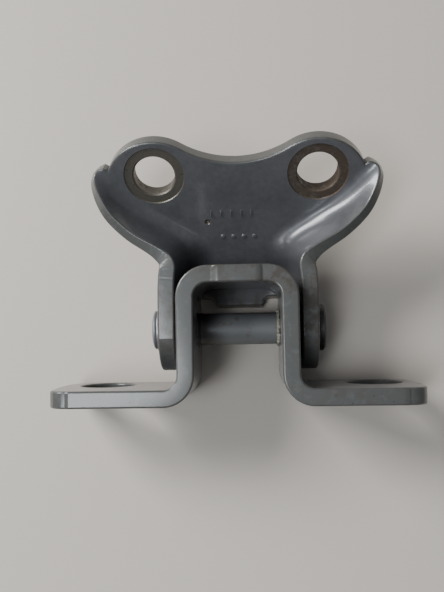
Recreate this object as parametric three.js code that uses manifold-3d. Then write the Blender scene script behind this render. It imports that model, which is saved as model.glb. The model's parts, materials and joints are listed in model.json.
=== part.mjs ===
// A pressed-steel car door hinge, lying with its door leaf standing on its back edges and its
// pillar leaf resting on its web. Millimetres, +Z up, +X along the hinge pin.
// Two bent leaves turn about one riveted pin, which runs in two flanged bushes.
// Everything is placed from the pin's centre, and the last lines then move the hinge so that its
// origin is the middle of its base.

import * as THREE from "three";
import { mergeVertices } from "three/addons/utils/BufferGeometryUtils.js";
import Module from "manifold-3d";

const wasm = await Module();
wasm.setup();

// ---- Driving dimensions ----

const plate = 5; // sheet thickness of both leaves
const pieceGap = 0.3; // between pieces that touch

// Door leaf: one strap bent into two feet, two legs and a bridge, measured from the pin's axis
const strapWidth = 32;
const strapBehindPin = 11; // to the strap's back edges
const legsInside = 25; // clear width between the legs
const bridgeOutside = 18.2; // to the bridge's outer face
const footSeat = 22; // to the faces that bolt to the door
const footReach = 55.5; // from the middle to the end of a foot
const footFrontCorner = 5.5; // rounding of a foot's corner at the strap's front edge
const footBackCorner = 8; // and at its back edge
const strapBend = 4; // inside radius of every bend
const footHoleRadius = 8.4;
const footHoleOffset = 41.2;

// Pillar leaf: a scoop that narrows into two ears
const sideGap = 1.3; // leg to ear, where a bush's flange runs
const earToFoot = 4.4; // from the ears' round ends to the feet
const stopGap = 1; // bridge to web, where the two leaves stop each other
const webCorner = 3; // inside radius between the web and an ear
const webBend = 9; // inside radius between the web and the bolt plate
const boltPlateTilt = THREE.MathUtils.degToRad(50); // up from the web
const heelY = 9.4; // the web's end, from the pin's axis
const heelHalfWidth = 7.6; // straight part of that end
const boltRowUp = 33; // from the end of the bend up to the row of bolt holes
const boltHoleRadius = 6.2;
const boltHoleOffset = 24.5;
const boltSeatRadius = 8.9;
const boltSeatDepth = 0.3;
const lobeRadius = 15.3; // round ends of the bolt plate's top edge
const lobeOffset = 24.4;
const lobeDrop = 4.3; // their centres, below the row of bolt holes
const dipHeight = 3.9; // lowest point of the top edge, above the row of bolt holes
const flangeTop = 3.2; // where the flanges' rim runs out, above the row of bolt holes
const flangeHalfWidth = 42.4; // widest place between the flanges, halved
const lobeStep = 3.7; // sideways from a flange's end to the small step at the lobe
const tipHigh = 2.3; // the flange's tip beside that step, above the row of bolt holes
const tipFall = 1.7; // how much lower the tip is at its outer end
const reliefCorner = 1.5; // of the reliefs in the web beside the ears
const reliefRound = 1.9; // where a relief starts beside the heel
const reliefStep = 1.5; // a relief is this much lower there than behind the leg

// Pin, bushes and washer
const pinRadius = 4.9;
const pinHeadLap = 0.8; // how far the head's edge reaches past the ear's bore
const pinHeadThickness = 2.4;
const pinHeadDome = 0.5;
const tenonStep = 1.3; // the pin's reduced end is this much smaller in radius
const rivetLap = 2.4; // the riveted end over the reduced one
const rivetHeight = 1.2;
const washerLap = 0.4; // the washer's edge past the ear's bore
const washerThickness = 1;
const bushWall = 0.8;
const bushFlangeWidth = 2.3; // past the ear's bore

// Fineness of the surfaces
const roundSides = 40;
const stepsAcross = 30; // of the pillar leaf, from rim to rim
const stepsAlong = 44; // and up the leaf
const flatShare = 0.3; // of the steps from the middle to a rim, in the flat middle
const cornerShare = 0.4; // in the corner's arc, with the rest in the straight wall
const step = 0.035; // share of the leaf over which its slope is taken, so that the back doesn't fold

// ---- Sizes that follow from them ----

const legInner = legsInside / 2;
const legOuter = legInner + plate;
const earInner = legOuter + sideGap;
const earOuter = earInner + plate;
const bridgeInside = bridgeOutside - plate;
const earRadius = footSeat - plate - earToFoot;
const boreRadius = pinRadius + pieceGap + bushWall + pieceGap;
const tenonRadius = pinRadius - tenonStep;
const rivetRadius = tenonRadius + rivetLap;
const washerRadius = boreRadius + washerLap;

// The hinge stands on the web's back face and on the feet's back edges. The strap leans by the
// angle at which both touch the floor while the bridge clears the web by the stop's gap.
const lean = Math.asin((plate + stopGap) / (footSeat + bridgeInside));
const floorBelowPin = footSeat * Math.sin(lean) + strapBehindPin * Math.cos(lean);
const webFront = plate - floorBelowPin;
const strapBack = -strapBehindPin;
const strapFront = strapWidth - strapBehindPin;

// The web bends up under the bridge's outer edge, which still clears the bend.
const bridgeBackY = bridgeOutside * Math.cos(lean) + strapBehindPin * Math.sin(lean);
const bendRise = stopGap + plate * Math.sin(lean) - 2 * pieceGap;
const bendY = bridgeBackY - Math.sqrt(webBend ** 2 - (webBend - bendRise) ** 2);

// The reliefs beside the ears end where the legs' back edges clear the corner of web and ear.
const cornerWidth = legOuter - earInner + webCorner;
const cornerRise = webCorner - Math.sqrt(webCorner ** 2 - cornerWidth ** 2);
const clearHeight = webFront + cornerRise + pieceGap;
const reliefTop = (clearHeight + strapBehindPin / Math.cos(lean)) / Math.tan(lean);
const bendRun = webBend * boltPlateTilt;
const topRun = bendRun + boltRowUp + flangeTop;

// ---- Solids ----

// A manifold solid from a closed geometry.
function solid(geometry) {
  const bare = geometry.index ? geometry.toNonIndexed() : geometry.clone();
  bare.deleteAttribute("normal");
  bare.deleteAttribute("uv");
  const merged = mergeVertices(bare, 1e-4);
  return new wasm.Manifold(
    new wasm.Mesh({
      numProp: 3,
      vertProperties: merged.attributes.position.array,
      triVerts: new Uint32Array(merged.index.array),
    }),
  );
}

// A geometry from a manifold solid.
function geometryOf(made) {
  const mesh = made.getMesh();
  const geometry = new THREE.BufferGeometry();
  geometry.setAttribute("position", new THREE.BufferAttribute(mesh.vertProperties, 3));
  geometry.setIndex(new THREE.BufferAttribute(mesh.triVerts, 1));
  geometry.computeVertexNormals();
  return geometry;
}

// A flat shape pushed through along its own Z, from one depth to another.
function extruded(shape, from, to, curveSegments = 8) {
  const options = { depth: to - from, bevelEnabled: false, curveSegments };
  return new THREE.ExtrudeGeometry(shape, options).translate(0, 0, from);
}

// A round bar along X, centred on the pin's axis.
function barAlongX(radius, from, to) {
  const geometry = new THREE.CylinderGeometry(radius, radius, to - from, roundSides);
  return geometry.rotateZ(Math.PI / 2).translate((from + to) / 2, 0, 0);
}

// A round bar along Y, centred on the origin.
function roundCutter(radius, length) {
  return new THREE.CylinderGeometry(radius, radius, length, roundSides);
}

// A piece turned about the pin's axis, from a profile of [place along X, radius].
function turned(profile) {
  const points = profile.map(([along, radius]) => new THREE.Vector2(radius, along));
  return new THREE.LatheGeometry(points, roundSides).rotateZ(-Math.PI / 2);
}

// ---- Door leaf ----

// The strap seen along its width: feet, legs and bridge, with equal inside radii at the bends.
function strapOutline() {
  const outerBend = strapBend + plate;
  const footX = legInner + outerBend;
  const footY = outerBend - footSeat;
  const bridgeX = legInner - strapBend;
  const bridgeY = bridgeInside - strapBend;
  const quarter = Math.PI / 2;
  const outline = new THREE.Shape();
  outline.moveTo(footReach, -footSeat);
  outline.lineTo(footX, -footSeat);
  outline.absarc(footX, footY, outerBend, 3 * quarter, 2 * quarter, true);
  outline.absarc(bridgeX, bridgeY, strapBend, 0, quarter, false);
  outline.absarc(-bridgeX, bridgeY, strapBend, quarter, 2 * quarter, false);
  outline.absarc(-footX, footY, outerBend, 0, -quarter, true);
  outline.lineTo(-footReach, -footSeat);
  outline.lineTo(-footReach, plate - footSeat);
  outline.absarc(-footX, footY, strapBend, -quarter, 0, false);
  outline.absarc(-bridgeX, bridgeY, outerBend, 2 * quarter, quarter, true);
  outline.absarc(bridgeX, bridgeY, outerBend, quarter, 0, true);
  outline.absarc(footX, footY, strapBend, 2 * quarter, 3 * quarter, false);
  outline.lineTo(footReach, plate - footSeat);
  return outline;
}

// The strap before bending, seen flat: a long plate with rounded corners.
function strapBlank() {
  const backX = footReach - footBackCorner;
  const frontX = footReach - footFrontCorner;
  const low = strapBack + footBackCorner;
  const high = strapFront - footFrontCorner;
  const blank = new THREE.Shape();
  blank.absarc(backX, low, footBackCorner, -Math.PI / 2, 0, false);
  blank.absarc(frontX, high, footFrontCorner, 0, Math.PI / 2, false);
  blank.absarc(-frontX, high, footFrontCorner, Math.PI / 2, Math.PI, false);
  blank.absarc(-backX, low, footBackCorner, Math.PI, 1.5 * Math.PI, false);
  return blank;
}

function doorLeaf() {
  const blank = extruded(strapBlank(), -bridgeOutside - plate, footSeat + plate);
  let leaf = solid(extruded(strapOutline(), strapBack, strapFront));
  leaf = leaf.intersect(solid(blank.rotateX(Math.PI / 2)));
  for (const side of [-1, 1]) {
    const hole = roundCutter(footHoleRadius, 4 * plate);
    leaf = leaf.subtract(solid(hole.translate(side * footHoleOffset, -footSeat, 0)));
  }
  return leaf.subtract(solid(barAlongX(pinRadius + pieceGap, -earInner, earInner)));
}

// ---- Pillar leaf ----

// A point on the middle line of the leaf's front face, by its distance from the start of the bend.
function middleLine(run) {
  const tilt = THREE.MathUtils.clamp(run / webBend, 0, boltPlateTilt);
  const straight = Math.max(run - bendRun, 0);
  const y = Math.min(run, 0) + webBend * Math.sin(tilt) + straight * Math.cos(tilt);
  const z = webBend * (1 - Math.cos(tilt)) + straight * Math.sin(tilt);
  return new THREE.Vector3(0, bendY + y, webFront + z);
}

const boltRow = middleLine(bendRun + boltRowUp);
const flangeEnd = middleLine(topRun);

// The flanges' rim is a straight slope from the ears' fronts to the bolt plate. This is its height
// over a point of the middle line, measured along a line that leans back by the given angle.
function rimHeight(start, fan) {
  const slope = (flangeEnd.z - earRadius) / flangeEnd.y;
  const below = earRadius + slope * start.y - start.z;
  return Math.max(below / (Math.cos(fan) + slope * Math.sin(fan)), 0);
}

// Sections across the leaf, from the ears to past the bolt plate's top edge.
// run: place on the middle line. fan: how far the section leans back, in degrees.
// x: the rim's place. slope: the wall's, in degrees. corner: inside radius at the wall's foot.
const widening = flangeHalfWidth - earInner;
const sections = [
  { run: -bendY - earRadius - 1, fan: 0, x: earInner, slope: 90, corner: webCorner },
  { run: heelY - bendY, fan: 0, x: earInner, slope: 90, corner: webCorner },
  { run: -0.05 * topRun, fan: 0, x: earInner - 0.2, slope: 90, corner: webCorner },
  { run: 0.11 * topRun, fan: 7, x: earInner - 0.4, slope: 86, corner: 4.5 },
  { run: 0.25 * topRun, fan: 12, x: earInner + 0.05 * widening, slope: 76, corner: 7 },
  { run: 0.39 * topRun, fan: 21, x: earInner + 0.2 * widening, slope: 66, corner: 10 },
  { run: 0.55 * topRun, fan: 28, x: earInner + 0.54 * widening, slope: 60, corner: 12 },
  { run: 0.69 * topRun, fan: 31, x: earInner + 0.79 * widening, slope: 57, corner: 11 },
  { run: 0.82 * topRun, fan: 34, x: earInner + 0.93 * widening, slope: 48, corner: 9 },
  { run: 0.93 * topRun, fan: 40, x: flangeHalfWidth, slope: 31, corner: 9 },
  { run: 1.03 * topRun, fan: 45, x: flangeHalfWidth, slope: 18, corner: 9 },
  { run: 1.3 * topRun, fan: 50, x: flangeHalfWidth, slope: 14, corner: 9 },
];
const places = sections.map(({ run, fan, x }) => new THREE.Vector3(run, fan, x));
const walls = sections.map(({ slope, corner }) => new THREE.Vector3(slope, corner, 0));
const placeCurve = new THREE.CatmullRomCurve3(places);
const wallCurve = new THREE.CatmullRomCurve3(walls);

// A point on the leaf's front face. across: -1 to 1 from rim to rim. along: 0 to 1 up the leaf.
function frontFace(across, along) {
  const place = placeCurve.getPoint(along);
  const wall = wallCurve.getPoint(along);
  const slope = THREE.MathUtils.degToRad(wall.x);
  const fan = THREE.MathUtils.degToRad(place.y);
  const point = middleLine(place.x);
  const height = rimHeight(point, fan);
  const meeting = place.z - height / Math.tan(slope);
  const wallLength = height / Math.sin(slope);
  const bite = Math.min(wall.y * Math.tan(slope / 2), meeting - 1, 0.9 * wallLength);
  const radius = bite / Math.tan(slope / 2);

  // The flat middle, then the corner's arc, then the straight wall
  const share = Math.abs(across);
  const pastFlat = Math.max(share - flatShare, 0);
  const pastCorner = Math.max(pastFlat - cornerShare, 0);
  const turn = slope * Math.min(pastFlat / cornerShare, 1);
  const climb = pastCorner / (1 - flatShare - cornerShare);
  let x = (meeting - bite) * Math.min(share / flatShare, 1) + radius * Math.sin(turn);
  let up = radius * (1 - Math.cos(turn));
  x += (place.z - x) * climb;
  up += (height - up) * climb;
  point.x = Math.sign(across) * x;
  point.y -= up * Math.sin(fan);
  point.z += up * Math.cos(fan);
  return point;
}

// The leaf as bent sheet, before its edges and holes are cut.
function bentSheet() {
  const geometry = new THREE.BoxGeometry(2, 1, plate, stepsAcross, stepsAlong, 1);
  const corner = new THREE.Vector3();
  const position = geometry.attributes.position;
  for (let i = 0; i < position.count; i++) {
    corner.fromBufferAttribute(position, i);
    const across = corner.x;
    const along = corner.y + 0.5;
    const depth = corner.z - plate / 2;
    const sideways = frontFace(Math.min(across + step, 1), along);
    sideways.sub(frontFace(Math.max(across - step, -1), along));
    const upwards = frontFace(across, Math.min(along + step, 1));
    upwards.sub(frontFace(across, Math.max(along - step, 0)));
    const normal = sideways.cross(upwards).normalize();
    const point = frontFace(across, along).addScaledVector(normal, depth);
    position.setXYZ(i, point.x, point.y, point.z);
  }
  return solid(geometry);
}

// Moves a geometry drawn in the bolt plate's own plane, with its Y at zero on the row of holes.
function onBoltPlate(geometry) {
  return geometry.rotateX(boltPlateTilt).translate(0, boltRow.y, boltRow.z);
}

// What is cut away above the bolt plate: two round lobes with a dip between them, and the tips of
// the flanges, which slope down outwards from a small step beside each lobe.
function aboveTopEdge() {
  const fromDip = dipHeight + lobeDrop;
  const dipRadius = (lobeOffset ** 2 + fromDip ** 2 - lobeRadius ** 2) / (2 * (lobeRadius - fromDip));
  const dipCentre = dipHeight + dipRadius;
  const meet = Math.atan2(dipCentre + lobeDrop, lobeOffset);
  const lobeEnd = Math.acos((flangeHalfWidth - lobeStep - lobeOffset) / lobeRadius);
  const stepX = flangeHalfWidth - lobeStep + (tipHigh + lobeDrop - lobeRadius * Math.sin(lobeEnd));
  const far = 2 * flangeHalfWidth;
  const tipLow = tipHigh - tipFall;
  const cut = new THREE.Shape();
  cut.moveTo(-far, tipLow - far / 2);
  cut.lineTo(-flangeHalfWidth, tipLow);
  cut.lineTo(-stepX, tipHigh);
  cut.absarc(-lobeOffset, -lobeDrop, lobeRadius, Math.PI - lobeEnd, meet, true);
  cut.absarc(0, dipCentre, dipRadius, Math.PI + meet, 2 * Math.PI - meet, false);
  cut.absarc(lobeOffset, -lobeDrop, lobeRadius, Math.PI - meet, lobeEnd, true);
  cut.lineTo(stepX, tipHigh);
  cut.lineTo(flangeHalfWidth, tipLow);
  cut.lineTo(far, tipLow - far / 2);
  cut.lineTo(far, far);
  cut.lineTo(-far, far);
  return onBoltPlate(extruded(cut, -4 * plate, 4 * plate, 12));
}

// What is cut away round the ears' ends: all of the sheet outside a circle about the pin.
function roundEars() {
  const far = 3 * earRadius;
  const cut = new THREE.Shape();
  cut.moveTo(-far, -far);
  cut.lineTo(heelY, -far);
  cut.lineTo(heelY, -floorBelowPin);
  cut.absarc(0, 0, earRadius, 1.5 * Math.PI, 0.5 * Math.PI, true);
  cut.lineTo(0, far);
  cut.lineTo(-far, far);
  const geometry = extruded(cut, -earOuter - plate, earOuter + plate, 24);
  return geometry.rotateY(Math.PI / 2).rotateX(Math.PI / 2);
}

// What is cut out of the web between the ears, with a relief beside each ear.
function webWindow() {
  const skin = 0.02; // the cut just cleans the ears' inner faces
  const inside = earInner + skin;
  const roundX = heelHalfWidth + 1.2 * reliefRound;
  const roundTop = reliefTop - reliefStep;
  const cut = new THREE.Shape();
  cut.moveTo(-inside, -2 * earRadius);
  cut.lineTo(inside, -2 * earRadius);
  cut.lineTo(inside, reliefTop - reliefCorner);
  cut.lineTo(inside - reliefCorner, reliefTop);
  cut.lineTo(earInner - webCorner, reliefTop);
  cut.lineTo(legInner, roundTop);
  cut.absarc(roundX, roundTop - reliefRound, reliefRound, Math.PI / 2, Math.PI, false);
  cut.lineTo(heelHalfWidth, heelY);
  cut.lineTo(-heelHalfWidth, heelY);
  cut.absarc(-roundX, roundTop - reliefRound, reliefRound, 0, Math.PI / 2, false);
  cut.lineTo(-legInner, roundTop);
  cut.lineTo(webCorner - earInner, reliefTop);
  cut.lineTo(reliefCorner - inside, reliefTop);
  cut.lineTo(-inside, reliefTop - reliefCorner);
  return extruded(cut, -2 * floorBelowPin, earRadius * 2);
}

function pillarLeaf() {
  let leaf = bentSheet();
  leaf = leaf.subtract(solid(webWindow()));
  leaf = leaf.subtract(solid(roundEars()));
  leaf = leaf.subtract(solid(aboveTopEdge()));
  for (const side of [-1, 1]) {
    const hole = roundCutter(boltHoleRadius, 4 * plate);
    hole.rotateX(Math.PI / 2).translate(side * boltHoleOffset, 0, 0);
    const seat = roundCutter(boltSeatRadius, plate);
    seat.rotateX(Math.PI / 2).translate(side * boltHoleOffset, 0, plate / 2 - boltSeatDepth);
    leaf = leaf.subtract(solid(onBoltPlate(hole))).subtract(solid(onBoltPlate(seat)));
  }
  return leaf.subtract(solid(barAlongX(boreRadius, -2 * earOuter, 2 * earOuter)));
}

// ---- Pin, bushes and washer ----

function hingePin() {
  const headRadius = boreRadius + pinHeadLap;
  const headStart = earOuter + pieceGap;
  const headEnd = headStart + pinHeadThickness;
  const rivetStart = -headStart - washerThickness - pieceGap;
  return turned([
    [rivetStart - rivetHeight, 0],
    [rivetStart - rivetHeight, rivetRadius - pinHeadDome],
    [rivetStart - rivetHeight + pinHeadDome, rivetRadius],
    [rivetStart, rivetRadius],
    [rivetStart, tenonRadius],
    [-earOuter, tenonRadius],
    [-earOuter, pinRadius],
    [headStart, pinRadius],
    [headStart, headRadius],
    [headEnd - pinHeadDome, headRadius],
    [headEnd, headRadius - pinHeadDome],
    [headEnd, 0],
  ]);
}

function rivetWasher() {
  const inner = tenonRadius + pieceGap;
  const face = -earOuter - pieceGap;
  return turned([
    [face - washerThickness, inner],
    [face - washerThickness, washerRadius],
    [face, washerRadius],
    [face, inner],
    [face - washerThickness, inner],
  ]);
}

// A bush pressed into an ear, its flange between the ear and the leg. side: -1 left, 1 right.
function flangedBush(side) {
  const bore = pinRadius + pieceGap;
  const sleeve = bore + bushWall;
  const flange = boreRadius + bushFlangeWidth;
  const flangeStart = legOuter + pieceGap;
  const flangeStop = earInner - pieceGap;
  const bush = turned([
    [flangeStart, bore],
    [flangeStart, flange],
    [flangeStop, flange],
    [flangeStop, sleeve],
    [earOuter, sleeve],
    [earOuter, bore],
    [flangeStart, bore],
  ]);
  return side > 0 ? bush : bush.rotateZ(Math.PI);
}

// ---- Assembly ----

const greyPaint = new THREE.MeshStandardMaterial({ color: 0x6c7278, roughness: 0.42, metalness: 0.35 });
const darkSteel = new THREE.MeshStandardMaterial({ color: 0x4a4a4c, roughness: 0.5, metalness: 0.8 });
const bronze = new THREE.MeshStandardMaterial({ color: 0x3c352c, roughness: 0.6, metalness: 0.6 });

function piece(name, geometry, material) {
  const mesh = new THREE.Mesh(geometry, material);
  mesh.name = name;
  return mesh;
}

// The door leaf swings about the pin, so it has its own group, leaning as it rests.
const swinging = new THREE.Group();
swinging.add(
  piece("door_leaf", geometryOf(doorLeaf()), greyPaint),
  piece("hinge_pin", hingePin(), darkSteel),
  piece("rivet_washer", rivetWasher(), darkSteel),
);
swinging.rotation.x = lean;

const fixed = new THREE.Group();
fixed.add(
  piece("pillar_leaf", geometryOf(pillarLeaf()), greyPaint),
  piece("flanged_bush_left", flangedBush(-1), bronze),
  piece("flanged_bush_right", flangedBush(1), bronze),
);

const hinge = new THREE.Group();
hinge.add(swinging, fixed);
const box = new THREE.Box3().setFromObject(hinge, true);
hinge.position.set(0, -(box.min.y + box.max.y) / 2, -box.min.z);

const part = new THREE.Group();
part.add(hinge);
export default part;
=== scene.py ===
import json
import math
import bpy
import bmesh
from mathutils import Euler, Matrix, Vector, noise


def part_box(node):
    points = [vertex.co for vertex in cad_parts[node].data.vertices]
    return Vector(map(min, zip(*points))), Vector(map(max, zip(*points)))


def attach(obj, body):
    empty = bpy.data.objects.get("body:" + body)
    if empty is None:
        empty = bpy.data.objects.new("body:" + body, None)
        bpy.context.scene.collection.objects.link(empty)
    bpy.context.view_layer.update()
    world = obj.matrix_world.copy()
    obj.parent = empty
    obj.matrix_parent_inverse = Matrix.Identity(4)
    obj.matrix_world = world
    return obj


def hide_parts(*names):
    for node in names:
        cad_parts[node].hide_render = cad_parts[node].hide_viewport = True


# A pressed-steel car door hinge lying on a plain floor. Lengths are millimetres until a mesh is
# finished, and metres after that. The pin runs along X.

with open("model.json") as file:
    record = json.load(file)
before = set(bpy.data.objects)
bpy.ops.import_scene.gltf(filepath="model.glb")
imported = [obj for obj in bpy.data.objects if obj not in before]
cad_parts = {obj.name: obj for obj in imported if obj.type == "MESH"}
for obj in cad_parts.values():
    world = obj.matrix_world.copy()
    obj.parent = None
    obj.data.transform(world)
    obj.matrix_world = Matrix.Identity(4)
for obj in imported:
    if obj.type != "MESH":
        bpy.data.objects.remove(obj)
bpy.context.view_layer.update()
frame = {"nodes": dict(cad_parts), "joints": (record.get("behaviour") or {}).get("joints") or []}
joint = frame["joints"][0]
pinPlace = Vector(joint["pos_m"])
millimetre = 0.001
scene = bpy.context.scene
print("frame loaded:", sorted(frame["nodes"]))


# Camera

view = {
    "place": (4.4, -50.3, 220.4),
    "turn": (12.65, 2.80, -0.49),  # degrees
    "lens": 40.72,
}


def makeCamera():
    data = bpy.data.cameras.new("camera")
    data.lens = view["lens"]
    data.sensor_width = 36
    data.clip_start = 0.01
    camera = bpy.data.objects.new("camera", data)
    scene.collection.objects.link(camera)
    camera.location = Vector(view["place"]) * millimetre
    camera.rotation_euler = Euler([math.radians(angle) for angle in view["turn"]])
    scene.camera = camera
    print("camera set")


makeCamera()


# Materials

class Amount:
    # A socket that can be used in sums
    def __init__(self, finish, socket):
        self.finish = finish
        self.socket = socket

    def sum(self, operation, first, second):
        return self.finish.node("ShaderNodeMath", {"operation": operation}, {0: first, 1: second})

    def __add__(self, other):
        return self.sum("ADD", self, other)

    def __radd__(self, other):
        return self.sum("ADD", other, self)

    def __sub__(self, other):
        return self.sum("SUBTRACT", self, other)

    def __rsub__(self, other):
        return self.sum("SUBTRACT", other, self)

    def __mul__(self, other):
        return self.sum("MULTIPLY", self, other)

    def __rmul__(self, other):
        return self.sum("MULTIPLY", other, self)


class Finish:
    # A material under construction
    def __init__(self, name, **constants):
        self.material = bpy.data.materials.new(name)
        self.material.use_nodes = True
        self.tree = self.material.node_tree
        self.surface = self.tree.nodes["Principled BSDF"]
        for socket, value in constants.items():
            self.surface.inputs[socket.replace("_", " ")].default_value = value
        self.place = self.node("ShaderNodeTexCoord", output="Object")

    def node(self, kind, settings={}, sockets={}, output=0):
        made = self.tree.nodes.new(kind)
        for key, value in settings.items():
            setattr(made, key, value)
        for key, value in sockets.items():
            self.connect(value, made.inputs[key])
        return Amount(self, made.outputs[output])

    def connect(self, value, socket):
        if isinstance(value, Amount):
            self.tree.links.new(value.socket, socket)
        else:
            socket.default_value = value

    def noise(self, size, detail=3, roughness=0.55, stretch=None):
        # Size is the pattern's grain in millimetres
        place = self.place
        if stretch:
            place = self.node("ShaderNodeMapping", {}, {"Vector": place, "Scale": stretch})
        sockets = {"Vector": place, "Scale": 1000 / size, "Detail": detail, "Roughness": roughness}
        return self.node("ShaderNodeTexNoise", {}, sockets, "Fac")

    def ramp(self, amount, low, high):
        # Rises from 0 to 1 between two levels
        sockets = {"Value": amount, "From Min": low, "From Max": high}
        return self.node("ShaderNodeMapRange", {"interpolation_type": "SMOOTHSTEP"}, sockets)

    def mix(self, first, second, share):
        # Sockets 6 and 7 are the node's two colours
        sockets = {0: share, 6: first, 7: second}
        return self.node("ShaderNodeMix", {"data_type": "RGBA"}, sockets, 2)

    def attribute(self, name):
        return self.node("ShaderNodeAttribute", {"attribute_name": name}, {}, "Fac")

    def coordinate(self, axis):
        return self.node("ShaderNodeSeparateXYZ", {}, {"Vector": self.place}, axis)

    def near(self, centre, reach, fade):
        # 1 inside a reach of a place, fading to 0; both in millimetres
        point = Vector(centre) * millimetre
        ends = {0: self.place, 1: point}
        away = self.node("ShaderNodeVectorMath", {"operation": "DISTANCE"}, ends, "Value")
        return 1 - self.ramp(away, reach * millimetre, (reach + fade) * millimetre)

    def finish(self, color, roughness, metallic=None, height=None, depth=0.1):
        self.connect(color, self.surface.inputs["Base Color"])
        self.connect(roughness, self.surface.inputs["Roughness"])
        if metallic is not None:
            self.connect(metallic, self.surface.inputs["Metallic"])
        if height is not None:
            sockets = {"Height": height, "Strength": 1.0, "Distance": depth * millimetre}
            self.connect(self.node("ShaderNodeBump", {}, sockets), self.surface.inputs["Normal"])
        return self.material


def rgb(red, green, blue):
    return (red, green, blue, 1)


paintLook = {
    "dark": rgb(0.086, 0.087, 0.093),
    "light": rgb(0.116, 0.117, 0.123),
    "rim": rgb(0.062, 0.064, 0.057),
    "worn": rgb(0.2, 0.205, 0.2),
    # Colour of the grime on the edges and at the joins, also used as painted shade in the recesses between
    # the pieces
    "grimeAndShade": rgb(0.06, 0.05, 0.038),
    "speck": rgb(0.018, 0.017, 0.016),
    "roughness": 0.4,
    "metallic": 0.2,
    "coat": 0.8,
    "coatRoughness": 0.16,
    "cloudSize": 14,  # sizes in millimetres
    "mottleSize": 1.6,
    "grainSize": 0.35,
    "pitsPerMetre": 620,
    "bumpDepth": 0.05,
}


def greyPaint(name, grimeAndShadePlaces):
    # Each place of grime and painted shade is a point, the reach of the full darkening, and how far it
    # fades beyond
    look = paintLook
    paint = Finish(name, Metallic=look["metallic"], Coat_Weight=look["coat"],
                   Coat_Roughness=look["coatRoughness"])
    rim = paint.attribute("rim")
    cloud = paint.noise(look["cloudSize"], 2)
    mottle = paint.noise(look["mottleSize"], 4)
    grain = paint.noise(look["grainSize"], 3)
    color = paint.mix(look["dark"], look["light"], paint.ramp(cloud * 0.6 + mottle * 0.4, 0.35, 0.68))
    # The sheared edges are a little more olive, and worn in small spots
    color = paint.mix(color, look["rim"], rim * (0.6 + 0.4 * mottle))
    smudge = paint.ramp(paint.noise(5.5, 4, 0.6), 0.5, 0.66) * rim
    color = paint.mix(color, look["grimeAndShade"], smudge * 0.35)
    worn = paint.ramp(rim * 0.3 + paint.noise(2.2, 5, 0.7), 0.83, 0.93)
    color = paint.mix(color, look["worn"], worn * 0.1)
    height = grain * 0.1 + mottle * 0.16 - worn * 0.15
    roughness = look["roughness"] + 0.1 * (mottle - 0.5) + 0.12 * rim
    if grimeAndShadePlaces:
        # Grime, and painted shade, darkening the corners and recesses where the pieces meet
        grimeAndShade = sum(paint.near(*place) for place in grimeAndShadePlaces)
        patches = paint.ramp(paint.noise(3.2, 5, 0.65), 0.36, 0.66)
        clamped = {"operation": "MULTIPLY", "use_clamp": True}
        dirtAndShade = paint.node("ShaderNodeMath", clamped, {0: grimeAndShade, 1: patches})
        color = paint.mix(color, look["grimeAndShade"], dirtAndShade * 0.7)
        roughness = roughness + 0.28 * dirtAndShade
        height = height + dirtAndShade * paint.noise(0.6, 4) * 0.6
    # Fine dark pits, mostly along the edges
    sockets = {"Vector": paint.place, "Scale": look["pitsPerMetre"]}
    cells = paint.node("ShaderNodeTexVoronoi", {}, sockets, "Distance")
    clusters = paint.ramp(paint.noise(1.7, 2), 0.5, 0.6)
    pits = (1 - paint.ramp(cells, 0.09, 0.17)) * clusters * (0.15 + 0.6 * rim)
    color = paint.mix(color, look["speck"], pits)
    return paint.finish(color, roughness, None, height - pits * 0.5, look["bumpDepth"])


seatLook = {
    "dark": rgb(0.11, 0.1, 0.082),
    "light": rgb(0.185, 0.17, 0.14),
    "rust": rgb(0.085, 0.055, 0.038),
    "speck": rgb(0.03, 0.028, 0.024),
    "rustyFrom": -5,  # millimetres across, rusting more towards the right
    "rustyTo": 30,
    "metallic": 0.6,
    "roughness": 0.42,
    "bumpDepth": 0.05,
}


def bareSeat(name):
    look = seatLook
    bare = Finish(name, Metallic=look["metallic"])
    scuffs = bare.noise(2.2, 5, 0.7)
    fine = bare.noise(0.5, 4, 0.7)
    places = [look[end] * millimetre for end in ("rustyFrom", "rustyTo")]
    rusty = bare.ramp(bare.coordinate("X"), *places)
    stain = bare.ramp(scuffs + 0.22 * rusty, 0.5, 0.72)
    color = bare.mix(look["dark"], look["light"], fine)
    color = bare.mix(color, look["rust"], stain * (0.35 + 0.4 * rusty))
    color = bare.mix(color, look["speck"], bare.ramp(bare.noise(1.1, 4, 0.75), 0.6, 0.72) * 0.7)
    roughness = look["roughness"] + 0.3 * stain + 0.15 * (fine - 0.5)
    return bare.finish(color, roughness, None, fine * 0.5 + stain * 0.4, look["bumpDepth"])


steelLook = {
    "dark": rgb(0.05, 0.048, 0.046),
    "light": rgb(0.11, 0.11, 0.11),
    "paint": rgb(0.15, 0.156, 0.156),
    "rust": rgb(0.08, 0.05, 0.032),
    "bright": rgb(0.33, 0.335, 0.345),
    "paintStarts": (-11.5, -2.0),  # millimetres across, between which the paint comes on
    "paintStops": (12.2, 12.6),
    "brightStops": (-24.5, -23.8),
    "drawnSize": 0.9,
    "drawnStretch": (0.15, 1, 1),
    "roughness": 0.45,
    "bumpDepth": 0.04,
}


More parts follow.
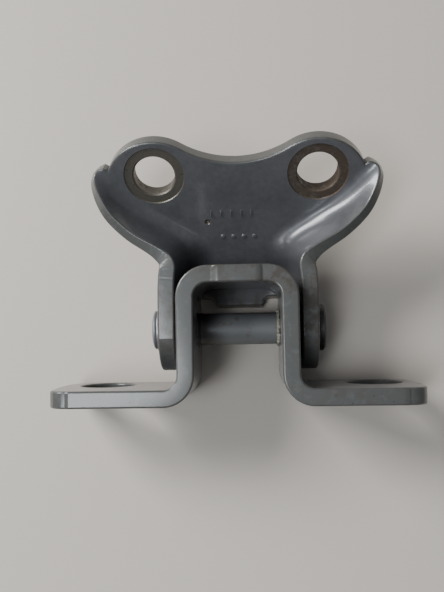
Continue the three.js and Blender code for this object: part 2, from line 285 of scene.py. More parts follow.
def darkSteel(name):
    look = steelLook
    steel = Finish(name)
    drawn = steel.noise(look["drawnSize"], 4, 0.6, look["drawnStretch"])
    blotch = steel.noise(4, 4, 0.65)
    fine = steel.noise(0.4, 3)
    across = steel.coordinate("X")

    def past(change):
        low, high = look[change]
        return steel.ramp(across, low * millimetre, high * millimetre)

    # Painted over between the legs, oily at the left, bright outside the left ear
    painted = past("paintStarts") * (1 - past("paintStops"))
    color = steel.mix(look["dark"], look["light"], drawn)
    color = steel.mix(color, look["paint"], painted * 0.85)
    color = steel.mix(color, look["rust"], steel.ramp(blotch, 0.56, 0.7) * 0.5)
    color = steel.mix(color, look["bright"], (1 - past("brightStops")) * 0.85)
    roughness = look["roughness"] + 0.2 * (blotch - 0.5) + 0.12 * painted
    height = drawn * 0.4 + fine * 0.3
    return steel.finish(color, roughness, 0.8 - 0.65 * painted, height, look["bumpDepth"])


bronzeLook = {
    "dark": rgb(0.09, 0.06, 0.032),
    "light": rgb(0.16, 0.11, 0.06),
    "grease": rgb(0.022, 0.02, 0.018),
    "metallic": 0.7,
    "roughness": 0.5,
    "bumpDepth": 0.05,
}


def greasyBronze(name):
    look = bronzeLook
    bronze = Finish(name, Metallic=look["metallic"])
    smear = bronze.noise(1.8, 4, 0.65)
    fine = bronze.noise(0.35, 3)
    greasy = bronze.ramp(smear, 0.38, 0.6)
    color = bronze.mix(look["dark"], look["light"], fine)
    color = bronze.mix(color, look["grease"], greasy * 0.85)
    roughness = look["roughness"] - 0.22 * greasy + 0.1 * (fine - 0.5)
    return bronze.finish(color, roughness, None, smear * 0.6 + fine * 0.2, look["bumpDepth"])


crustLook = {
    "dark": rgb(0.12, 0.115, 0.085),
    "light": rgb(0.42, 0.41, 0.33),
    "clumpSize": 0.7,
    "roughness": 0.85,
    "bumpDepth": 0.12,
}


def driedCrust(name):
    look = crustLook
    crust = Finish(name, Metallic=0.0)
    clump = crust.noise(look["clumpSize"], 4, 0.7)
    color = crust.mix(look["dark"], look["light"], clump)
    return crust.finish(color, look["roughness"] - 0.1 * clump, None, clump, look["bumpDepth"])


# Shared mesh work

def arcPoints(centre, radius, start, stop, count):
    # Points on an arc, angles in degrees
    points = []
    for i in range(count + 1):
        angle = math.radians(start + (stop - start) * i / count)
        points.append((centre[0] + radius * math.cos(angle), centre[1] + radius * math.sin(angle)))
    return points


def circlePoints(centre, radius, count):
    return arcPoints(centre, radius, 0, 360 - 360 / count, count - 1)


def eased(amount, low, high):
    # Rises smoothly from 0 to 1 between two levels
    share = min(max((amount - low) / (high - low), 0), 1)
    return share ** 2 * (3 - 2 * share)


def mirrored(points):
    # The left half of an outline, from its right half
    return [(-x, y) for x, y in reversed(points)]


def flatBlank(name, loops, thickness, rounding):
    # A flat plate with rounded edges, cut to the first loop, with the other loops as holes
    curve = bpy.data.curves.new(name, "CURVE")
    curve.dimensions = "2D"
    curve.fill_mode = "BOTH"
    curve.extrude = thickness / 2 - rounding
    curve.bevel_depth = rounding
    curve.bevel_resolution = 3
    curve.offset = -rounding
    for points in loops:
        spline = curve.splines.new("POLY")
        spline.points.add(len(points) - 1)
        for point, (x, y) in zip(spline.points, points):
            point.co = (x, y, 0, 1)
        spline.use_cyclic_u = True
    holder = bpy.data.objects.new(name, curve)
    scene.collection.objects.link(holder)
    bpy.context.view_layer.update()
    flat = bpy.data.meshes.new_from_object(holder.evaluated_get(bpy.context.evaluated_depsgraph_get()))
    blank = bmesh.new()
    blank.from_mesh(flat)
    bpy.data.objects.remove(holder)
    bpy.data.meshes.remove(flat)
    bmesh.ops.remove_doubles(blank, verts=blank.verts, dist=1e-4)
    bmesh.ops.recalc_face_normals(blank, faces=blank.faces)
    caps = [edge for edge in blank.edges if all(abs(face.normal.z) > 0.999 for face in edge.link_faces)]
    bmesh.ops.dissolve_limit(blank, angle_limit=0.01, verts=[], edges=caps)
    return blank


def scoreLines(blank, axis, places):
    # Cuts the blank's faces along straight lines, so that it can be bent there
    normal = Vector((0, 0, 0))
    normal[axis] = 1
    for place in places:
        everything = blank.verts[:] + blank.edges[:] + blank.faces[:]
        bmesh.ops.bisect_plane(blank, geom=everything, dist=1e-5, plane_co=normal * place, plane_no=normal)


def steps(start, stop, pitch):
    count = max(round((stop - start) / pitch), 1)
    return [start + (stop - start) * i / count for i in range(count + 1)]


def press(blank, die):
    # Moves every corner of the blank to where the die takes it
    for corner in blank.verts:
        corner.co = die(corner.co)


def markRims(blank, thickness):
    # 1 on the sheared edges of a flat blank and 0 on its faces
    rim = blank.verts.layers.float.new("rim")
    for corner in blank.verts:
        corner[rim] = 1.0 if abs(corner.co.z) < thickness / 2 - 0.02 else 0.0


def toFloor(point):
    # From millimetres about the pin's centre to the frame
    return pinPlace + Vector(point) * millimetre


def soften(mesh, edges, offset):
    bmesh.ops.bevel(mesh, geom=edges, offset=offset, segments=3, affect="EDGES", profile=0.5,
                    material=-1)


sharpAngle = 38  # degrees


def finishPiece(name, mesh, materials, body, nodes):
    # Makes the object, with soft shading but for its sharp edges
    for face in mesh.faces:
        face.smooth = True
    for edge in mesh.edges:
        if len(edge.link_faces) == 2:
            edge.smooth = edge.calc_face_angle(0) < math.radians(sharpAngle)
    data = bpy.data.meshes.new(name)
    mesh.to_mesh(data)
    mesh.free()
    piece = bpy.data.objects.new(name, data)
    scene.collection.objects.link(piece)
    for material in materials:
        data.materials.append(material)
    weighted = piece.modifiers.new("faces stay flat", "WEIGHTED_NORMAL")
    weighted.keep_sharp = True
    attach(piece, body)
    if nodes:
        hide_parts(*nodes)
    print("made", name, "with", len(data.polygons), "faces")
    return piece


turnSteps = 96
softenedAngle = 40  # degrees


def turned(profile, softening=0.0, closed=False):
    # A shape turned about the X axis, from a profile of (place along it, radius); a ring is closed
    shape = bmesh.new()
    corners = [shape.verts.new((along, 0, radius)) for along, radius in profile]
    pairs = list(zip(corners, corners[1:])) + ([(corners[-1], corners[0])] if closed else [])
    edges = [shape.edges.new(pair) for pair in pairs]
    bmesh.ops.spin(shape, geom=corners + edges, cent=(0, 0, 0), axis=(1, 0, 0), angle=2 * math.pi,
                   steps=turnSteps, use_merge=True)
    bmesh.ops.remove_doubles(shape, verts=shape.verts, dist=1e-4)
    bmesh.ops.recalc_face_normals(shape, faces=shape.faces)
    if softening:
        least = math.radians(softenedAngle)
        soften(shape, [edge for edge in shape.edges if edge.calc_face_angle(0) > least], softening)
    return shape


pinFrame = Matrix.Translation(pinPlace) @ Matrix.Scale(millimetre, 4)


def ontoPin(shape):
    # From millimetres about the pin's centre to the frame
    bmesh.ops.transform(shape, matrix=pinFrame, verts=shape.verts)
    return shape


# Door leaf: a strap bent into two feet, two legs and a bridge

strap = {
    "thickness": 5.0,
    "width": 32.0,
    "behindPin": 11.0,  # to the strap's back edges
    "legsInside": 25.0,
    "bridgeOutside": 18.2,  # from the pin's axis
    "footSeat": 22.0,
    "bend": 4.0,  # inside radius
    "footHole": 8.4,
    "footHoleOffset": 41.2,
    "pinHole": 5.2,
    "frontCorner": 5.5,
    "backCorner": 8.0,
    "endBow": 90.0,  # radius of the feet's ends
    "shortFoot": 1.6,  # the right foot ends this much earlier
    "trimStep": 0.3,  # where the blank's ends are trimmed a little lower
    "trimWidth": 6.4,
    "trimSlope": 0.5,
    "bridgeProud": 0.5,  # the middle of the bridge's front edge
    "bridgeProudHalf": 6.4,
    "bridgeProudSlope": 0.7,
    "rounding": 0.6,
    "leanGap": 1.0,  # between the bridge and the pillar leaf's web as they rest
    "bendPitch": 0.7,  # between score lines in the bends
    "straightPitch": 2.5,  # and elsewhere
    "acrossPitch": 2.0,
    # Places of grime, with painted shade in the recesses between the pieces: point, reach and fade, in
    # millimetres
    "grimeAndShade": [((9, 3, 38), 5, 7), ((15, -4, 36), 3, 6), ((-6, 3, 38), 3, 7), ((18, -14, 16), 8, 6),
              ((-18, -14, 16), 8, 6)],
}
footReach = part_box("door_leaf")[1].x / millimetre
lean = math.asin((strap["thickness"] + strap["leanGap"])
                 / (strap["footSeat"] + strap["bridgeOutside"] - strap["thickness"]))
# The middle of the strap in its bends, and the centres of those at the bridge and at the feet
bendRadius = strap["bend"] + strap["thickness"] / 2
quarter = bendRadius * math.pi / 2
bridgeX = strap["legsInside"] / 2 - strap["bend"]
bridgeY = strap["bridgeOutside"] - strap["thickness"] - strap["bend"]
footX = strap["legsInside"] / 2 + strap["bend"] + strap["thickness"]
footY = strap["bend"] + strap["thickness"] - strap["footSeat"]
legLength = bridgeY - footY


def strapPath(along):
    # The middle of the bent strap and the way its upper side faces, by the length from the
    # bridge's middle
    side = math.copysign(1, along)
    run = abs(along)
    if run < bridgeX:
        x, y, facing = run, bridgeY + bendRadius, 90
    elif run < bridgeX + quarter:
        facing = 90 - math.degrees((run - bridgeX) / bendRadius)
        x = bridgeX + bendRadius * math.cos(math.radians(facing))
        y = bridgeY + bendRadius * math.sin(math.radians(facing))
    elif run < bridgeX + quarter + legLength:
        x, y, facing = bridgeX + bendRadius, bridgeY - (run - bridgeX - quarter), 0
    elif run < bridgeX + 2 * quarter + legLength:
        facing = math.degrees((run - bridgeX - quarter - legLength) / bendRadius)
        x = footX - bendRadius * math.cos(math.radians(facing))
        y = footY - bendRadius * math.sin(math.radians(facing))
    else:
        x, y, facing = footX + run - bridgeX - 2 * quarter - legLength, footY - bendRadius, 90
    angle = math.radians(facing)
    return Vector((side * x, y)), Vector((side * math.cos(angle), math.sin(angle)))


def strapLengths():
    # Where the bends start and stop, and where the holes are, along the flat strap
    upper = (bridgeX, bridgeX + quarter)
    lower = (upper[1] + legLength, upper[1] + legLength + quarter)
    return {
        "upper": upper,
        "lower": lower,
        "pinHole": upper[1] + bridgeY,
        "footHole": lower[1] + strap["footHoleOffset"] - footX,
        "end": lower[1] + footReach - footX,
    }


def footEnd(end):
    # The outline of a foot's end, from its back edge to its front edge
    back = -strap["behindPin"]
    front = back + strap["width"]
    middle = (back + front) / 2
    bow = strap["endBow"]
    centre = end - bow
    trimmed = front - strap["trimStep"]
    points = []
    for edge, corner, outward in ((back, strap["backCorner"], -1), (trimmed, strap["frontCorner"], 1)):
        height = edge - outward * corner
        place = centre + math.sqrt((bow - corner) ** 2 - (height - middle) ** 2)
        turn = math.degrees(math.atan2(height - middle, place - centre))
        if outward < 0:
            points += arcPoints((place, height), corner, -90, turn, 10)
            backTurn = turn
        else:
            points += arcPoints((centre, middle), bow, backTurn, turn, 6)[1:-1]
            points += arcPoints((place, height), corner, turn, 90, 8)
    stepPlace = end - strap["trimWidth"]
    return points + [(stepPlace, trimmed), (stepPlace - strap["trimSlope"], front)]


def doorSide(point):
    # The door leaf leans about the pin as it rests
    return toFloor(Matrix.Rotation(lean, 3, "X") @ Vector(point))


def makeDoorLeaf():
    lengths = strapLengths()
    front = strap["width"] - strap["behindPin"]
    proud, proudFront = strap["bridgeProudHalf"], front + strap["bridgeProud"]
    slopeEnd = proud + strap["bridgeProudSlope"]
    bridge = [(slopeEnd, front), (proud, proudFront), (-proud, proudFront), (-slopeEnd, front)]
    rightEnd = footEnd(lengths["end"] - strap["shortFoot"])
    outline = rightEnd + bridge + mirrored(footEnd(lengths["end"]))
    holes = []
    for side in (-1, 1):
        holes.append(circlePoints((side * lengths["footHole"], 0), strap["footHole"], 48))
        holes.append(circlePoints((side * lengths["pinHole"], 0), strap["pinHole"], 36))
    leaf = flatBlank("door_leaf_blank", [outline] + holes, strap["thickness"], strap["rounding"])
    pitch = strap["bendPitch"]
    bends = steps(*lengths["upper"], pitch) + steps(*lengths["lower"], pitch)
    straights = steps(-lengths["end"], lengths["end"], strap["straightPitch"])
    scoreLines(leaf, 0, [side * place for side in (-1, 1) for place in bends] + straights)
    scoreLines(leaf, 1, steps(-strap["behindPin"], front, strap["acrossPitch"]))
    markRims(leaf, strap["thickness"])

    def die(flat):
        middle, facing = strapPath(flat.x)
        place = middle + facing * flat.z
        return doorSide((place.x, place.y, flat.y))

    press(leaf, die)
    paint = greyPaint("grey paint on the door leaf", strap["grimeAndShade"])
    finishPiece("door_leaf_pressing", leaf, [paint], "door_side", ["door_leaf"])


makeDoorLeaf()


# Pillar leaf: a scoop that narrows into two ears

scoop = {
    "thickness": 5.0,
    "webCorner": 3.0,  # inside radius between web and ear
    "webBend": 9.0,  # inside radius between web and bolt plate
    "tilt": 50.0,  # of the bolt plate, up from the web
    "earInner": 18.8,
    "earRadius": 12.6,
    "earBore": 6.3,
    "heel": 9.4,  # the web's end, from the pin's axis
    "heelHalf": 7.6,
    "reliefTop": 13.9,
    "reliefTurn": 50.0,  # how far up the corner the relief reaches, in degrees
    "reliefCorner": 1.6,
    "reliefRound": 1.9,  # where a relief starts beside the heel
    "reliefStep": 1.5,  # and how much lower it is there
    "bendStart": 15.23,
    "boltRow": 33.0,  # from the end of the bend
    "boltHole": 6.2,
    "boltHoleOffset": 24.5,
    "boltSeat": 8.9,
    "boltSeatDepth": 0.3,
    "holeChamfer": 0.4,
    "seatFlare": 0.25,  # the seats' edges spread by this much, and more above the face
    "seatSpread": 2.5,
    "cutBelow": 9.0,
    "cutAbove": 3.0,
    "lobe": 15.3,
    "lobeOffset": 24.4,
    "lobeDrop": 4.3,
    "dip": 3.9,
    "flangeTop": 3.2,  # where the rim runs out, above the row of bolt holes
    "flangeHalf": 42.4,
    "lobeStep": 4.15,  # from the flange's side to where the lobe starts
    "tipShoulder": 2.5,  # of the flange, above the row of bolt holes
    "tipRound": [(0, -1.4), (0.3, -0.5), (0.9, 0), (1.8, 0.33), (2.85, 0.5), (3.55, 0.15)],  # in, up
    "tipClear": 1.9,  # the rim's own points end this far below the shoulder
    "pit": (-9.3, -16.2),  # a small pit in the bolt plate
    "pitProfile": [(-0.8, 0), (-0.6, 0.5), (0, 0.95), (1, 1.4), (1, 0)],
    "rounding": 0.6,
    "rimThinning": 0.36,  # the drawn sheet is thinner along the flanges' rim
    "thinWidth": 0.45,  # in from the rim, as a share of the half width
    "thinFrom": (0.2, 0.5),  # shares of the leaf's length, between which the thinning comes
    "thinTo": (0.85, 1.05),  # and goes
    "normalReach": 2.5,  # the back face follows the bends over this length, so that it doesn't fold
    "acrossLines": (-46, 46, 0.8),  # score lines: first, last and pitch
    "alongLines": (-28, 60, 0.9),
    # Places of grime, with painted shade on the web under the bridge and between the pieces: point, reach
    # and fade, in millimetres
    "grimeAndShade": [((20, -14, 26), 7, 7), ((-20, -14, 26), 6, 7), ((0, -4, 8), 6, 8), ((22, -6, 28), 4, 6)],
}
webFront = scoop["thickness"] - pinPlace.z / millimetre  # from the pin's axis
bendLength = scoop["webBend"] * math.radians(scoop["tilt"])
topRun = bendLength + scoop["boltRow"] + scoop["flangeTop"]


def middleLine(run):
    # The middle of the leaf's front face, by the distance from the start of the bend
    tilt = min(max(run / scoop["webBend"], 0), math.radians(scoop["tilt"]))
    straight = max(run - bendLength, 0)
    y = min(run, 0) + scoop["webBend"] * math.sin(tilt) + straight * math.cos(tilt)
    z = scoop["webBend"] * (1 - math.cos(tilt)) + straight * math.sin(tilt)
    return Vector((0, scoop["bendStart"] + y, webFront + z))


flangeEnd = middleLine(topRun)
rimSlope = (flangeEnd.z - scoop["earRadius"]) / flangeEnd.y


def rimHeight(start, fan):
    # How far the wall reaches above the middle line, along a line that leans back
    below = scoop["earRadius"] + rimSlope * start.y - start.z
    return max(below / (math.cos(fan) + rimSlope * math.sin(fan)), 0)


earInner = scoop["earInner"]
widening = scoop["flangeHalf"] - earInner
# Across the leaf: place up the leaf, lean of the section, the rim's x, the wall's slope, corner radius
sections = [
    (-scoop["bendStart"] - scoop["earRadius"] - 1, 0, earInner, 90, scoop["webCorner"]),
    (scoop["heel"] - scoop["bendStart"], 0, earInner, 90, scoop["webCorner"]),
    (-0.05 * topRun, 0, earInner - 0.2, 90, scoop["webCorner"]),
    (0.11 * topRun, 7, earInner - 0.4, 86, 4.5),
    (0.25 * topRun, 12, earInner + 0.05 * widening, 76, 7),
    (0.39 * topRun, 21, earInner + 0.2 * widening, 66, 10),
    (0.55 * topRun, 28, earInner + 0.54 * widening, 60, 12),
    (0.69 * topRun, 31, earInner + 0.79 * widening, 57, 11),
    (0.82 * topRun, 34, earInner + 0.93 * widening, 48, 9),
    (0.93 * topRun, 40, scoop["flangeHalf"], 31, 9),
    (1.03 * topRun, 45, scoop["flangeHalf"], 18, 9),
    (1.3 * topRun, 50, scoop["flangeHalf"], 14, 9),
]


def sectionAt(run):
    # The values of the table at a place between its rows, on a smooth curve
    run = min(max(run, sections[0][0]), sections[-1][0])
    last = len(sections) - 1
    i = max(k for k in range(last) if sections[k][0] <= run)
    low, high = sections[i], sections[i + 1]
    before, after = sections[max(i - 1, 0)], sections[min(i + 2, last)]
    span = high[0] - low[0]
    t = (run - low[0]) / span
    values = []
    for k in range(1, 5):
        rise = (high[k] - before[k]) / (high[0] - before[0]) * span
        fall = (after[k] - low[k]) / (after[0] - low[0]) * span
        values.append((2 * t ** 3 - 3 * t ** 2 + 1) * low[k] + (t ** 3 - 2 * t ** 2 + t) * rise
                      + (3 * t ** 2 - 2 * t ** 3) * high[k] + (t ** 3 - t ** 2) * fall)
    return values


crossSections = {}


def crossSection(run):
    # Flat half, corner radius, slope, lean, and the length from the middle to the rim
    key = round(run, 5)
    if key not in crossSections:
        fan, rimX, slope, corner = sectionAt(run)
        fan, slope = math.radians(fan), math.radians(slope)
        start = middleLine(run)
        height = rimHeight(start, fan)
        meeting = rimX - height / math.tan(slope)
        wall = height / math.sin(slope)
        bite = min(corner * math.tan(slope / 2), meeting - 1, 0.9 * wall)
        radius = bite / math.tan(slope / 2)
        flat = meeting - bite
        crossSections[key] = (flat, radius, slope, fan, flat + radius * slope + wall - bite, start)
    return crossSections[key]


def frontPoint(across, run):
    # A point on the leaf's front face, by its place on the flat blank
    flat, radius, slope, fan, _, start = crossSection(run)
    share = abs(across)
    if share < flat or radius < 1e-6:
        x, up = share, 0
    else:
        turn = min((share - flat) / radius, slope)
        straight = max(share - flat - radius * slope, 0)
        x = flat + radius * math.sin(turn) + straight * math.cos(slope)
        up = radius * (1 - math.cos(turn)) + straight * math.sin(slope)
    return Vector((math.copysign(x, across), start.y - up * math.sin(fan), start.z + up * math.cos(fan)))


def leafPoint(flat):
    # A point of the blank after pressing; its front face is at half the thickness
    nudge = scoop["normalReach"]
    sideways = frontPoint(flat.x + nudge, flat.y) - frontPoint(flat.x - nudge, flat.y)
    upwards = frontPoint(flat.x, flat.y + nudge) - frontPoint(flat.x, flat.y - nudge)
    normal = sideways.cross(upwards).normalized()
    # The sheet thins towards the rim of the flared flanges
    up, rim = flat.y / topRun, crossSection(flat.y)[4]
    near = min(max(1 - (rim - abs(flat.x)) / (scoop["thinWidth"] * rim), 0), 1)
    flared = eased(up, *scoop["thinFrom"]) * (1 - eased(up, *scoop["thinTo"]))
    thinned = 1 - scoop["rimThinning"] * near ** 2 * flared
    return frontPoint(flat.x, flat.y) + normal * thinned * (flat.z - scoop["thickness"] / 2)


boltRow = middleLine(bendLength + scoop["boltRow"])


def plateHeight(point):
    # How far up the bolt plate's plane a point is from the row of bolt holes
    tilt = math.radians(scoop["tilt"])
    place = point - boltRow
    return place.y * math.cos(tilt) + place.z * math.sin(tilt)


def flatFrom(x, up):
    # Where on the blank a point is that should end up at x, up in the bolt plate's own plane
    run = bendLength + scoop["boltRow"] + up
    side = math.copysign(1, x)
    for _ in range(8):
        flat, radius, slope, fan, _, start = crossSection(run)
        if abs(x) <= flat or radius < 1e-6:
            share = abs(x)
        else:
            turn = math.asin(min((abs(x) - flat) / radius, 1))
            if turn < slope:
                share = flat + radius * turn
            else:
                share = flat + radius * slope + (abs(x) - flat - radius * math.sin(slope)) / math.cos(slope)
        run += up - plateHeight(frontPoint(side * share, run))
    return (side * share, run)


def earPlace():
    # The bore's centre on the right side of the blank
    flat, corner = crossSection(scoop["heel"] - scoop["bendStart"])[:2]
    return (flat + corner * math.pi / 2 - webFront - corner, -scoop["bendStart"])


def leafOutline():
    # The right half of the blank, from the heel of the web round the ear and up to the dip
    start = scoop["bendStart"]
    heel, heelHalf = scoop["heel"] - start, scoop["heelHalf"]
    relief = scoop["reliefTop"] - start
    earFlat, earCorner = crossSection(heel)[:2]
    side = earFlat + earCorner * math.radians(scoop["reliefTurn"])
    corner = scoop["reliefCorner"]
    rounded = scoop["reliefRound"]
    lower = relief - scoop["reliefStep"]
    points = [(heelHalf, heel)]
    points += arcPoints((heelHalf + 1.2 * rounded, lower - rounded), rounded, 180, 90, 8)
    points += [(strap["legsInside"] / 2, lower), (scoop["earInner"] - scoop["webCorner"], relief)]
    points += arcPoints((side - corner, relief - corner), corner, 90, 0, 5)
    # The ear's round end, about the bore
    ear = earPlace()
    radius = scoop["earRadius"]
    meets = math.degrees(math.acos((side - ear[0]) / radius))
    # The rim's straight line meets the circle a little before its top
    rimTurn = 2 * math.degrees(math.atan(rimSlope))
    points += arcPoints(ear, radius, 360 - meets, 360 - rimTurn, 36)
    first = ear[1] - radius * math.sin(math.radians(rimTurn))
    half, shoulder = scoop["flangeHalf"], scoop["tipShoulder"]
    for run in steps(first, topRun, 1.1)[1:]:
        rim = crossSection(run)[4]
        if plateHeight(frontPoint(rim, run)) < shoulder - scoop["tipClear"]:
            points.append((rim, run))
    # The flange's tip, the step, the lobe and half of the dip
    lobe, offset, drop = scoop["lobe"], scoop["lobeOffset"], scoop["lobeDrop"]
    fromDip = scoop["dip"] + drop
    dipRadius = (offset ** 2 + fromDip ** 2 - lobe ** 2) / (2 * (lobe - fromDip))
    dipCentre = scoop["dip"] + dipRadius
    meet = math.degrees(math.atan2(dipCentre + drop, offset))
    lobeEnd = math.degrees(math.acos((half - scoop["lobeStep"] - offset) / lobe))
    points += [flatFrom(half - inward, shoulder + up) for inward, up in scoop["tipRound"]]
    top = arcPoints((offset, -drop), lobe, lobeEnd, 180 - meet, 30)
    top += arcPoints((0, dipCentre), dipRadius, 360 - meet, 270, 16)[1:]
    return points + [flatFrom(x, up) for x, up in top]


def plateCutter(x, up, profile):
    # A round cutter that stands on the bolt plate, from a profile of (height over the face, radius)
    cutter = turned(profile)
    stand = Matrix.Rotation(math.radians(scoop["tilt"]), 4, "X") @ Matrix.Translation((x, up, 0))
    stand = stand @ Matrix.Rotation(math.radians(-90), 4, "Y")
    onLeaf = pinFrame @ Matrix.Translation(boltRow) @ stand
    bmesh.ops.transform(cutter, matrix=onLeaf, verts=cutter.verts)
    for face in cutter.faces:
        face.material_index = 1
    return cutter


def carve(piece, cutters):
    # Cuts shapes out of a piece for good; the new faces take the cutter's material number
    for shape in cutters:
        data = bpy.data.meshes.new("cutter")
        shape.to_mesh(data)
        shape.free()
        for material in piece.data.materials:
            data.materials.append(material)
        cutter = bpy.data.objects.new("cutter", data)
        scene.collection.objects.link(cutter)
        cutting = piece.modifiers.new("cut", "BOOLEAN")
        cutting.operation = "DIFFERENCE"
        cutting.solver = "EXACT"
        cutting.object = cutter
        bpy.context.view_layer.update()
        settled = piece.evaluated_get(bpy.context.evaluated_depsgraph_get())
        carved = bpy.data.meshes.new_from_object(settled)
        piece.modifiers.remove(cutting)
        old = piece.data
        piece.data = carved
        bpy.data.objects.remove(cutter)
        bpy.data.meshes.remove(data)
        bpy.data.meshes.remove(old)


def makePillarLeaf():
    half = leafOutline()
    outline = half + mirrored(half)[1:]
    ear, bore = earPlace(), scoop["earBore"]
    holes = [circlePoints((side * ear[0], ear[1]), bore, 48) for side in (-1, 1)]
    leaf = flatBlank("pillar_leaf_blank", [outline] + holes, scoop["thickness"], scoop["rounding"])
    scoreLines(leaf, 0, steps(*scoop["acrossLines"]))
    scoreLines(leaf, 1, steps(*scoop["alongLines"]))
    markRims(leaf, scoop["thickness"])
    press(leaf, lambda flat: toFloor(leafPoint(flat)))
    looks = [greyPaint("grey paint on the pillar leaf", scoop["grimeAndShade"]), bareSeat("bare seats")]
    piece = finishPiece("pillar_leaf_pressing", leaf, looks, "pillar_side",
                        ["pillar_leaf"])
    hole, seat, depth = scoop["boltHole"], scoop["boltSeat"], scoop["boltSeatDepth"]
    chamfer, flared = scoop["holeChamfer"], seat + scoop["seatFlare"]
    below, above = -scoop["cutBelow"], scoop["cutAbove"]
    profile = [(below, 0), (below, hole), (-depth - chamfer, hole), (-depth, hole + chamfer),
               (-depth, seat), (0, flared), (above, flared + scoop["seatSpread"]), (above, 0)]
    cutters = [plateCutter(side * scoop["boltHoleOffset"], 0, profile) for side in (-1, 1)]
    carve(piece, cutters + [plateCutter(*scoop["pit"], scoop["pitProfile"])])


makePillarLeaf()


# Raised tally marks on the bolt plate

marks = {
    "strokeRow": -13.2,  # up the plate from the bolt holes
    "strokes": (-8.0, -4.9, -1.8, 1.3, 4.4),
    "strokeSize": (0.42, 2.2, 0.5),
    "dotRow": -21.8,
    "dots": (-4.6, -1.3, 2.0, 5.3),
    "dotRadius": 0.85,
    "dotHeight": 0.25,
    "rounding": 0.12,
}


def makeMarks():
    tally = bmesh.new()
    base = bendLength + scoop["boltRow"]
    face = scoop["thickness"] / 2
    for across in marks["strokes"]:
        size = Matrix.Diagonal((*marks["strokeSize"], 1))
        place = Matrix.Translation((across, base + marks["strokeRow"], face))
        made = bmesh.ops.create_cube(tally, size=1, matrix=place @ size)
        # Each edge of the stroke once, in the same order every time
        edges = dict.fromkeys(edge for corner in made["verts"] for edge in corner.link_edges)
        soften(tally, list(edges), marks["rounding"])
    for across in marks["dots"]:
        radius = marks["dotRadius"]
        size = Matrix.Diagonal((1, 1, marks["dotHeight"] / radius, 1))
        place = Matrix.Translation((across, base + marks["dotRow"], face))
        bmesh.ops.create_uvsphere(tally, u_segments=24, v_segments=12, radius=radius,
                                  matrix=place @ size)
    press(tally, lambda flat: toFloor(leafPoint(flat)))
    bmesh.ops.recalc_face_normals(tally, faces=tally.faces)
    paint = greyPaint("grey paint on the marks", [])
    finishPiece("tally_marks", tally, [paint], "pillar_side", [])


makeMarks()


# Pin, washer and bushes, all turned about the pin's axis

pin = {
    "radius": 4.9,
    "softening": 0.08,
    "band": (-12.2, -11.0),  # a faint ring beside the left leg
    "bandHeight": 0.12,
    "bandSlope": 0.2,
    "earOuter": 23.8,  # the ears' outer faces
    "gap": 0.3,
    "tenon": 3.6,
    "rivet": 5.9,
    "rivetHeight": 1.2,
    "rivetRound": [(0.15, 0), (0, 1.6), (0, 4.7), (0.25, 5.55), (0.6, 6.0)],  # below its end, radius
    "head": 7.0,
    "headThickness": 2.4,
    "headRound": [(2.25, 7.1), (0.7, 7.1), (0.2, 6.6), (0, 5.7), (0, 0)],
    "washer": 6.7,
    "washerThickness": 1.0,
    "washerSoftening": 0.15,
}
bush = {
    "bore": 5.2,
    "sleeve": 6.0,
    "flange": 8.6,
    "flangeFrom": 17.8,
    "flangeTo": 18.5,
    "softening": 0.12,
}


def makePin():
    outer = pin["earOuter"] + pin["gap"]
    rivetFrom = -outer - pin["washerThickness"] - pin["gap"]
    rivetEnd = rivetFrom - pin["rivetHeight"]
    headEnd = outer + pin["headThickness"]
    radius, tenon = pin["radius"], pin["tenon"]
    bandStart, bandEnd = pin["band"]
    bandRadius, slope = radius + pin["bandHeight"], pin["bandSlope"]
    profile = [(rivetEnd + inward, width) for inward, width in pin["rivetRound"]]
    profile += [(rivetFrom, pin["rivet"]), (rivetFrom, tenon), (-pin["earOuter"], tenon)]
    profile += [(-pin["earOuter"], radius), (bandStart, radius), (bandStart + slope, bandRadius)]
    profile += [(bandEnd - slope, bandRadius), (bandEnd, radius), (outer, radius), (outer, pin["head"])]
    profile += [(headEnd - inward, width) for inward, width in pin["headRound"]]
    shape = ontoPin(turned(profile, pin["softening"]))
    steel = darkSteel("dull pin steel")
    finishPiece("riveted_pin", shape, [steel], "door_side", ["hinge_pin"])


def makeWasher():
    inner, outer = pin["tenon"] + pin["gap"], pin["washer"]
    face = -pin["earOuter"] - pin["gap"]
    back = face - pin["washerThickness"]
    profile = [(face, inner), (back, inner), (back, outer), (face, outer)]
    shape = ontoPin(turned(profile, pin["washerSoftening"], True))
    steel = darkSteel("bright washer steel")
    finishPiece("pressed_washer", shape, [steel], "door_side", ["rivet_washer"])


def makeBush(name, side, node):
    bore, sleeve, flange = bush["bore"], bush["sleeve"], bush["flange"]
    start, stop, end = bush["flangeFrom"], bush["flangeTo"], pin["earOuter"]
    profile = [(start, bore), (start, flange), (stop, flange), (stop, sleeve), (end, sleeve), (end, bore)]
    profile = [(side * along, width) for along, width in profile]
    shape = ontoPin(turned(profile, bush["softening"], True))
    bronze = greasyBronze("bronze of " + name)
    finishPiece(name, shape, [bronze], "pillar_side", [node])


# Dried sealant where the pin enters the right leg

crustRing = {
    "from": 11.7,
    "to": 12.45,
    "radius": 5.5,
    "edgeFall": 0.3,  # the ring is this much thinner at its free edge
    "lip": 0.2,
    "ragged": 0.6,
    "spread": 0.35,
    "coarse": 1.3,  # clumps per millimetre
    "fine": 3.7,
    "fineShare": 0.6,
}


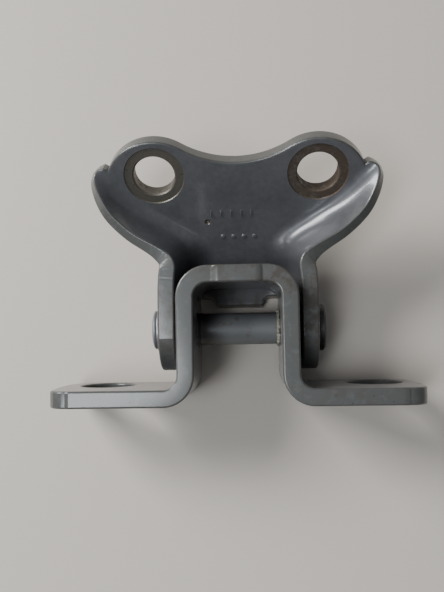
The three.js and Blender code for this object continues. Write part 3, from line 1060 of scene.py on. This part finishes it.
def makeCrust():
    start, stop, radius = crustRing["from"], crustRing["to"], crustRing["radius"]
    inner = pin["radius"]
    profile = [(stop, inner), (start + crustRing["lip"], inner), (start, radius - crustRing["edgeFall"]),
               ((start + stop) / 2, radius), (stop, radius)]
    ring = turned(profile, 0, True)
    for corner in ring.verts:
        # The clumps grow outwards and along the pin, and leave its surface and the leg's alone
        if corner.co.yz.length > inner + 0.1:
            clump = noise.noise(corner.co * crustRing["coarse"])
            clump += crustRing["fineShare"] * noise.noise(corner.co * crustRing["fine"])
            corner.co.yz *= 1 + crustRing["ragged"] * clump / radius
            corner.co.x = min(corner.co.x - crustRing["spread"] * abs(clump), stop)
    crust = driedCrust("dried sealant crust")
    finishPiece("dried_sealant", ontoPin(ring), [crust], "door_side", [])


makePin()
makeWasher()
makeBush("bush_left", -1, "flanged_bush_left")
makeBush("bush_right", 1, "flanged_bush_right")
makeCrust()


# Stage

stage = {
    "floorSize": 4.0,  # metres
    "floor": rgb(0.57, 0.52, 0.455),
    "floorRoughness": 0.6,
    "sky": rgb(0.9, 0.93, 1.0),
    "ambient": 0.2,
    "lights": {
        "window": {
            "place": (-0.66, 0.36, 0.58),
            "size": (0.4, 0.4),
            "power": 12,
            "tint": (0.97, 0.98, 1.0),
        },
        "ceiling": {
            "place": (-0.36, -0.34, 1.0),
            "size": (0.26, 0.46),
            "power": 5.4,
            "tint": (0.9, 0.95, 1.0),
        },
    },
}


def makeFloor():
    mesh = bmesh.new()
    bmesh.ops.create_grid(mesh, x_segments=1, y_segments=1, size=stage["floorSize"] / 2)
    data = bpy.data.meshes.new("floor")
    mesh.to_mesh(data)
    mesh.free()
    floor = bpy.data.objects.new("floor", data)
    scene.collection.objects.link(floor)
    pale = Finish("plain pale floor")
    data.materials.append(pale.finish(stage["floor"], stage["floorRoughness"]))


def makeLight(name, place, size, power, tint):
    light = bpy.data.lights.new(name, "AREA")
    light.shape = "RECTANGLE"
    light.size, light.size_y = size
    light.energy = power
    light.color = tint
    holder = bpy.data.objects.new(name, light)
    scene.collection.objects.link(holder)
    holder.location = place
    # Aimed at the middle of the floor
    holder.rotation_euler = (-Vector(place)).to_track_quat("-Z", "Y").to_euler()


def makeSky():
    world = bpy.data.worlds.new("studio")
    world.use_nodes = True
    background = world.node_tree.nodes["Background"]
    background.inputs["Color"].default_value = stage["sky"]
    background.inputs["Strength"].default_value = stage["ambient"]
    scene.world = world


makeFloor()
for lightName, lightValues in stage["lights"].items():
    makeLight(lightName, **lightValues)
makeSky()
print("stage set with", len(stage["lights"]), "lights")
